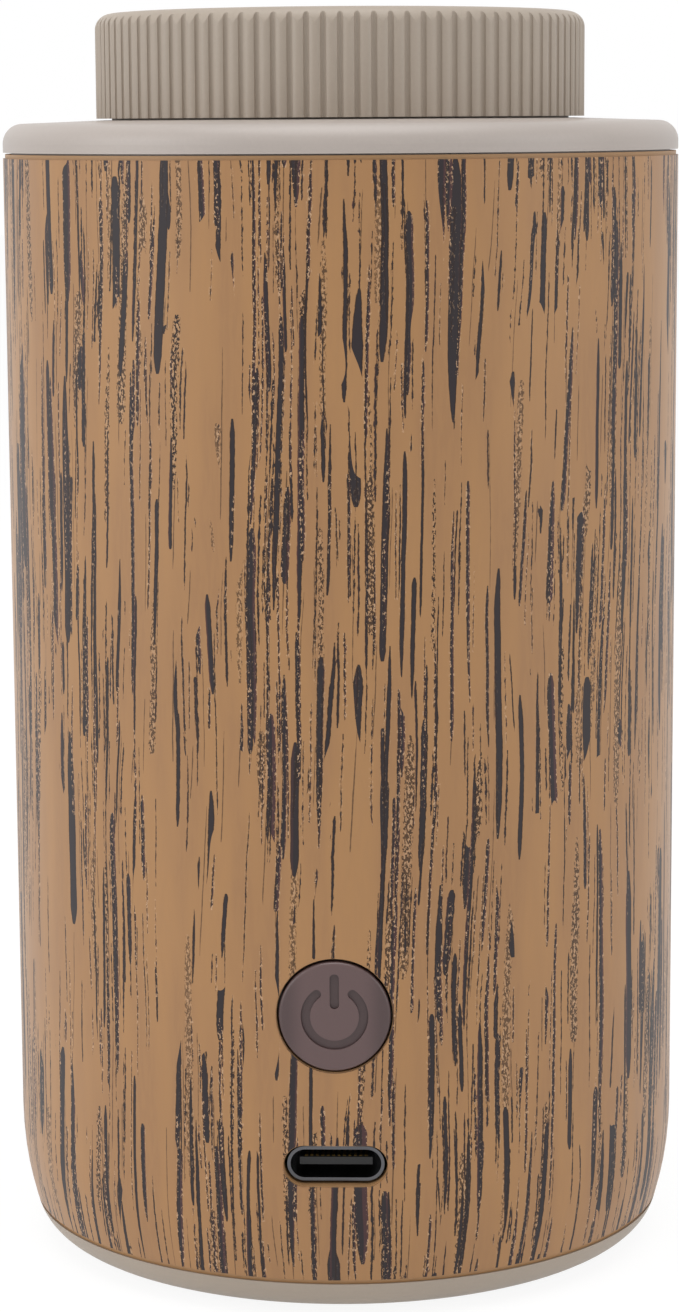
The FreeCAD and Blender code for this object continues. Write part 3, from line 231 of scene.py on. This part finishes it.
def woodFilm():
    look = woodPrint
    finish = Finish("woodPrint", Specular_IOR_Level=look["shine"], Sheen_Weight=look["sheen"],
                    Coat_Weight=look["coat"], Coat_Roughness=look["coatRoughness"])
    x, y, z = finish.xyz(finish.place())
    around = x.maths("ARCTAN2", -y) * (casingRadius / mm)

    def pattern(name, detail, rough=0.5, start=(0.0, 0.0)):
        often = look[name]
        spot = finish.join(around * often[0] + start[0], z * often[1] + start[1])
        return finish.noise(spot, detail=detail, rough=rough, dimensions="2D")

    def marks(layer):
        return strokes(finish, across, z, ragged, crowd, layer)

    wave = (pattern("wave", 1.0) - 0.5) * (look["waveWidth"] * 2)
    ripple = (pattern("ripple", 1.0) - 0.5) * (look["rippleWidth"] * 2)
    across = around + wave + ripple - z * look["lean"]
    ragged = pattern("ragged", 3.0, 0.7) * 2 - 1
    crowd = pattern("crowd", 2.0, start=look["crowdStart"]).ramp(*look["crowding"])
    grain = pattern("grain", 2.0)
    salt = pattern("salt", 2.0, 0.7)
    mottle = pattern("mottle", 2.0).ramp(*look["mottling"])
    colour = finish.blend(mottle, look["baseWarm"], look["baseDull"])
    colour = finish.blend(grain.ramp(*look["graining"]), colour, look["base"])

    # bands of fine dots and pale specks, then hair lines
    inside, flank, pick = marks(speckBands)
    band = inside.ramp(*look["bandFade"])
    dots = (salt + band * look["bandCrowd"]).ramp(*look["dotSize"]) * band.ramp(*look["dotFade"])
    specks = (look["bandPale"] - salt).ramp(*look["paleFade"])
    colour = finish.blend(specks * band * look["bandSpecks"], colour, look["speck"])
    colour = finish.blend(dots * (pick * 0.4 + 0.6), colour, look["umber"])
    inside, flank, pick = marks(hairLines)
    edge = look["edge"]
    colour = finish.blend(inside.ramp(-edge, edge) * look["hairInk"], colour, look["umber"])

    # the strokes, each layer over the one before
    ink = dots * 0.5
    pale = (look["strokePale"] - salt).ramp(*look["paleFade"])
    for layer in strokeLayers:
        inside, flank, pick = marks(layer)
        halo = pale * inside.ramp(*look["haloReach"]) * pick.ramp(*look["haloPick"])
        colour = finish.blend(halo, colour, look["speck"])
        dark = finish.blend(inside.ramp(*look["core"]), look["umber"], look["charcoal"])
        side = (flank * (pick - 0.5) * 4).ramp(*look["plumSide"]) * pick.ramp(*look["plumPick"])
        dark = finish.blend(side * look["plumInk"], dark, look["plum"])
        holes = pale * inside.ramp(*look["holeDepth"]) * pick.ramp(*look["holePick"])
        dark = finish.blend(holes, dark, look["speck"])
        covered = inside.ramp(-edge, edge)
        colour = finish.blend(covered, colour, dark)
        ink = ink.most(covered)
    gloss = ink * look["inkRoughness"] + grain * look["grainRoughness"]
    finish.set(Base_Color=colour, Roughness=gloss + look["roughness"] - look["grainRoughness"] / 2)
    finish.bump(grain * look["grainRelief"] - ink, look["inkDepth"] * mm, look["inkRelief"])
    return finish.material


plasticLook = {
    "clouds": 0.7, "peel": 0.3, "fade": (0.35, 0.65),  # what the colour's clouding is mixed from
    "cloudGloss": 0.08, "peelGloss": 0.06, "coatRoughness": 0.25, "relief": 0.5, "reliefDepth": 4,
}


def satinPlastic(name, colour, roughness, grainSize=0.25, grainDepth=0.004, shift=0.03, coat=0.0,
                 cloud=14.0):
    # moulded or lacquered plastic: slight clouding of the colour, fine orange peel and uneven gloss
    look = plasticLook
    finish = Finish(name, Coat_Weight=coat, Coat_Roughness=look["coatRoughness"])
    spot = finish.place()
    clouds = finish.noise(spot, scale=1 / cloud, detail=3.0)
    peel = finish.noise(spot, scale=1 / grainSize, detail=3.0, rough=0.6)
    mixed = (clouds * look["clouds"] + peel * look["peel"]).ramp(*look["fade"])
    finish.set(Base_Color=finish.blend(mixed, shade(colour, 1 - shift), shade(colour, 1 + shift)))
    gloss = clouds * look["cloudGloss"] + peel * look["peelGloss"]
    middle = (look["cloudGloss"] + look["peelGloss"]) / 2
    finish.set(Roughness=gloss + (roughness - middle))
    finish.bump(peel, grainDepth * mm * look["reliefDepth"], look["relief"])
    return finish.material


# the darker brown is painted shade for the engraving and the edge, where they sink below the face
buttonLook = {
    "face": paint(94, 71, 70), "recessShade": paint(66, 47, 47), "recessShadeShare": 0.75, "peelShare": 0.15,
    "depth": (0.08, 0.3), "peel": 6.0, "peelDepth": 0.01, "relief": 0.4,
    "roughness": 0.34, "peelGloss": 0.08, "sunkGloss": 0.1, "coat": 0.25, "coatRoughness": 0.18,
}


def buttonFinish():
    # satin brown, with painted shade making it a little darker where the engraving and the edge sink below
    # the face
    look = buttonLook
    finish = Finish("buttonBrown", Coat_Weight=look["coat"], Coat_Roughness=look["coatRoughness"])
    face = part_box("power_button")[0].y / mm
    spot = finish.place()
    y = finish.xyz(spot)[1]
    peel = finish.noise(spot, scale=look["peel"], detail=3.0, rough=0.6)
    # painted shade, growing with how far a point lies below the button's face
    recessShade = (y - face).ramp(*look["depth"])
    dark = recessShade * look["recessShadeShare"] + peel * look["peelShare"]
    finish.set(Base_Color=finish.blend(dark, look["face"], look["recessShade"]))
    finish.set(Roughness=peel * look["peelGloss"] + recessShade * look["sunkGloss"] + look["roughness"])
    finish.bump(peel, look["peelDepth"] * mm, look["relief"])
    return finish.material


metalLook = {
    "drawn": 12, "gloss": 0.16, "lineDepth": 0.01, "relief": 0.4,  # drawn: length of a line over its width
    "cloud": 0.3, "fade": (0.3, 0.7), "dull": 0.85,
}


def metalFinish(name, colour, roughness, line=0.08):
    look = metalLook
    finish = Finish(name, Metallic=1.0)
    spot = finish.place()
    x, y, z = finish.xyz(spot)
    brushed = finish.noise(finish.join(x / line, y / line, z / (line * look["drawn"])), detail=2.0)
    cloud = finish.noise(spot, scale=look["cloud"], detail=2.0).ramp(*look["fade"])
    finish.set(Base_Color=finish.blend(cloud, shade(colour, look["dull"]), colour))
    finish.set(Roughness=brushed * look["gloss"] + (roughness - look["gloss"] / 2))
    finish.bump(brushed, look["lineDepth"] * mm, look["relief"])
    return finish.material


clearLook = {"cloud": 0.2, "fade": (0.3, 0.7), "bright": 1.08, "gloss": 0.06, "depth": 0.02, "relief": 0.3}


def clearFinish(name, colour, roughness, transmission, ior=1.5):
    look = clearLook
    finish = Finish(name, Transmission_Weight=transmission, IOR=ior)
    cloud = finish.noise(finish.place(), scale=look["cloud"], detail=2.0)
    bright = shade(colour, look["bright"])
    finish.set(Base_Color=finish.blend(cloud.ramp(*look["fade"]), colour, bright))
    finish.set(Roughness=cloud * look["gloss"] + roughness)
    finish.bump(cloud, look["depth"] * mm, look["relief"])
    return finish.material


foamLook = {"cells": 1.6, "wall": 0.25, "fuzz": 3.0, "pitShadeShare": 0.7, "fuzzShare": 0.3, "bright": 1.5,
            "roughness": 0.95, "fuzzRelief": 0.4, "depth": 0.15, "relief": 0.8}


def foamFinish(name, colour):
    look = foamLook
    finish = Finish(name, Roughness=look["roughness"])
    spot = finish.place()
    settings = {"feature": "DISTANCE_TO_EDGE"}
    cells = finish.node("TexVoronoi", settings, {"Vector": spot, "Scale": look["cells"]})
    fuzz = finish.noise(spot, scale=look["fuzz"], detail=3.0)
    # painted shade: the pores keep the darker colour and the cell walls get the brighter one, mixed with
    # random fuzz
    pit = cells.ramp(0.0, look["wall"])
    share = pit * look["pitShadeShare"] + fuzz * look["fuzzShare"]
    finish.set(Base_Color=finish.blend(share, shade(colour, look["bright"]), colour))
    finish.bump(fuzz * look["fuzzRelief"] - pit, look["depth"] * mm, look["relief"])
    return finish.material


finishes = {
    "wood_print": woodFilm(),
    "cap_finish": satinPlastic("champagneGrip", paint(171, 158, 144), 0.5, grainSize=0.3),
    "collar_finish": satinPlastic("champagneShoulder", paint(178, 168, 161), 0.42, grainSize=0.35),
    "tan_shell": satinPlastic("tanShell", paint(170, 131, 90), 0.5),
    "button_brown": buttonFinish(),
    "foot_rubber": satinPlastic("footRubber", paint(58, 55, 53), 0.8, grainSize=0.2, grainDepth=0.02),
    "frame_plastic": satinPlastic("frameMoulding", paint(226, 224, 219), 0.5),
    "head_plastic": satinPlastic("headMoulding", paint(224, 220, 211), 0.35, grainSize=0.5),
    "chip_black": satinPlastic("blackMoulding", paint(28, 28, 29), 0.45, grainSize=0.1),
    "socket_white": satinPlastic("whiteNylon", paint(232, 229, 220), 0.5, grainSize=0.2),
    "board_green": satinPlastic("solderMask", paint(20, 86, 52), 0.3, grainSize=0.8, cloud=6.0, shift=0.12,
                                coat=0.4),
    "cell_sleeve": satinPlastic("cellSleeve", paint(52, 96, 140), 0.25, grainSize=1.2, coat=0.4),
    "silicone": satinPlastic("siliconeRubber", paint(226, 224, 218), 0.55, grainSize=0.3),
    "pump_rubber": satinPlastic("pumpRubber", paint(46, 45, 46), 0.65, grainSize=0.2, grainDepth=0.012),
    "lead_red": satinPlastic("leadInsulation", paint(172, 40, 34), 0.5, grainSize=0.2),
    "magnet": satinPlastic("ferrite", paint(60, 60, 63), 0.6, grainSize=0.12, grainDepth=0.015),
    "clear_tube": clearFinish("clearTube", paint(244, 244, 242), 0.15, 0.85, ior=1.42),
    "led_clear": clearFinish("clearLens", paint(248, 247, 240), 0.1, 0.8),
    "amber_glass": clearFinish("amberGlass", paint(182, 122, 58), 0.03, 0.95, ior=1.52),
    "port_steel": metalFinish("portSteel", paint(206, 204, 202), 0.3),
    # painted shade: the USB shell's steel is made dark to stand for the shadow of the recess it sits in
    "port_shell": metalFinish("shadedPortShell", paint(98, 98, 101), 0.3),
    "steel_wire": metalFinish("springSteel", paint(196, 196, 198), 0.32),
    "screw_steel": metalFinish("zincSteel", paint(192, 194, 198), 0.34),
    "lamination": metalFinish("lamination", paint(140, 140, 142), 0.45),
    # painted shade: the gold is darkened to stand for the shade inside the port where the contacts sit
    "gold_plate": metalFinish("shadedGoldPlate", paint(150, 122, 66), 0.35),
    "brass": metalFinish("sinteredBronze", paint(196, 158, 88), 0.42),
    "copper": metalFinish("copperWire", paint(196, 118, 72), 0.35, line=0.05),
    "filter_foam": foamFinish("openFoam", paint(46, 46, 48)),
}
slotOf = {entry["node"]: entry["material_slot"] for entry in frame["record"]["subparts"]}
for nodeName, part in nodes.items():
    for number in range(len(part.material_slots)):
        part.material_slots[number].material = finishes[slotOf[nodeName]]
print("finishes on", len(nodes), "pieces")


studio = {
    "floorRadius": 3.0, "floorSides": 96, "floorDrop": -0.00002,  # metres; a hair under the foot
    "floorGrey": 0.92, "floorRoughness": 0.9, "floorGlow": 0.9, "floorShare": 0.84,
    "worldWhite": 1.0, "worldLight": 0.4,
    "topLamp": {"place": (0.0, -0.15, 0.9), "size": 0.8, "power": 4.6},
    "leftLamp": {"place": (-0.9, -0.35, 0.35), "size": 0.7, "power": 3.4},
    "rightLamp": {"place": (0.9, -0.3, 0.3), "size": 0.7, "power": 1.9},
}


def makeFloor():
    mesh = bpy.data.meshes.new("floor")
    built = bmesh.new()
    bmesh.ops.create_circle(built, cap_ends=True, segments=studio["floorSides"],
                              radius=studio["floorRadius"])
    built.to_mesh(mesh)
    built.free()
    floor = bpy.data.objects.new("floor", mesh)
    floor.location.z = studio["floorDrop"]
    bpy.context.scene.collection.objects.link(floor)
    grey = (studio["floorGrey"],) * 3 + (1.0,)
    finish = Finish("paleFloor", Base_Color=grey, Roughness=studio["floorRoughness"])
    path = finish.node("LightPath", {}, {})
    seen = path.out("Is Camera Ray").most(path.out("Is Glossy Ray")).most(path.out("Is Transmission Ray"))
    strength = studio["floorGlow"] / studio["floorShare"]
    glow = finish.node("Emission", {}, {"Color": (1.0, 1.0, 1.0, 1.0), "Strength": strength})
    plain = Wire(finish, finish.shader.outputs[0])
    mixed = finish.node("MixShader", {}, {0: seen * studio["floorShare"], 1: plain, 2: glow})
    under = finish.node("NewGeometry", {}, {}).out("Backfacing")  # from below, the floor is clear
    clear = finish.node("BsdfTransparent", {}, {})
    mixed = finish.node("MixShader", {}, {0: under, 1: mixed, 2: clear})
    finish.tree.links.new(mixed.socket, finish.tree.nodes["Material Output"].inputs["Surface"])
    mesh.materials.append(finish.material)


def makeWorld():
    world = bpy.data.worlds.new("studioWorld")
    world.use_nodes = True
    bpy.context.scene.world = world
    tree = world.node_tree
    shell = tree.nodes["Background"]
    shell.inputs["Color"].default_value = (1.0, 1.0, 1.0, 1.0)
    path = tree.nodes.new("ShaderNodeLightPath")
    seen = path.outputs["Is Camera Ray"]
    for name in ("Is Glossy Ray", "Is Transmission Ray"):
        most = tree.nodes.new("ShaderNodeMath")
        most.operation = "MAXIMUM"
        tree.links.new(seen, most.inputs[0])
        tree.links.new(path.outputs[name], most.inputs[1])
        seen = most.outputs[0]
    level = tree.nodes.new("ShaderNodeMapRange")
    level.inputs["To Min"].default_value = studio["worldLight"]
    level.inputs["To Max"].default_value = studio["worldWhite"]
    tree.links.new(seen, level.inputs["Value"])
    tree.links.new(level.outputs[0], shell.inputs["Strength"])


def makeLamp(name):
    look = studio[name]
    lamp = bpy.data.lights.new(name, "AREA")
    lamp.shape = "DISK"
    lamp.size = look["size"]
    lamp.energy = look["power"]
    holder = bpy.data.objects.new(name, lamp)
    bpy.context.scene.collection.objects.link(holder)
    holder.location = look["place"]
    aim = Vector((0.0, 0.0, collarTop / 2)) - holder.location
    holder.rotation_euler = aim.to_track_quat("-Z", "Y").to_euler()


viewpoint = {
    "distance": 0.3305, "azimuth": 1.8, "aside": 0.0697, "pitch": 9.03, "roll": 0.36, "lens": 92.75,
    "sensor": 36.0, "clipStart": 0.01, "clipEnd": 20.0,
}


def makeCamera():
    # the lens is level with the collar's top face and looks down a little, rolled a hair
    look = viewpoint
    camera = bpy.data.cameras.new("camera")
    camera.lens = look["lens"]
    camera.sensor_width = look["sensor"]
    camera.clip_start = look["clipStart"]
    camera.clip_end = look["clipEnd"]
    holder = bpy.data.objects.new("camera", camera)
    bpy.context.scene.collection.objects.link(holder)
    turn = math.radians(look["azimuth"])
    aim = math.radians(look["azimuth"] + look["aside"])
    pitch = math.radians(look["pitch"])
    roll = math.radians(look["roll"])
    right = Vector((math.cos(aim), math.sin(aim), 0.0))
    ahead = Vector((-math.sin(aim), math.cos(aim), 0.0))
    forward = ahead * math.cos(pitch) - Vector((0.0, 0.0, math.sin(pitch)))
    upward = ahead * math.sin(pitch) + Vector((0.0, 0.0, math.cos(pitch)))
    sideways = right * math.cos(roll) - upward * math.sin(roll)
    topways = right * math.sin(roll) + upward * math.cos(roll)
    spot = Vector((math.sin(turn), -math.cos(turn), 0.0)) * look["distance"] + Vector((0.0, 0.0, collarTop))
    pose = Matrix((sideways, topways, -forward)).transposed().to_4x4()
    holder.matrix_world = Matrix.Translation(spot) @ pose
    bpy.context.scene.camera = holder


makeFloor()
makeWorld()
for lampName in ("topLamp", "leftLamp", "rightLamp"):
    makeLamp(lampName)
makeCamera()
bpy.context.scene.view_settings.view_transform = "Standard"
print("studio ready")
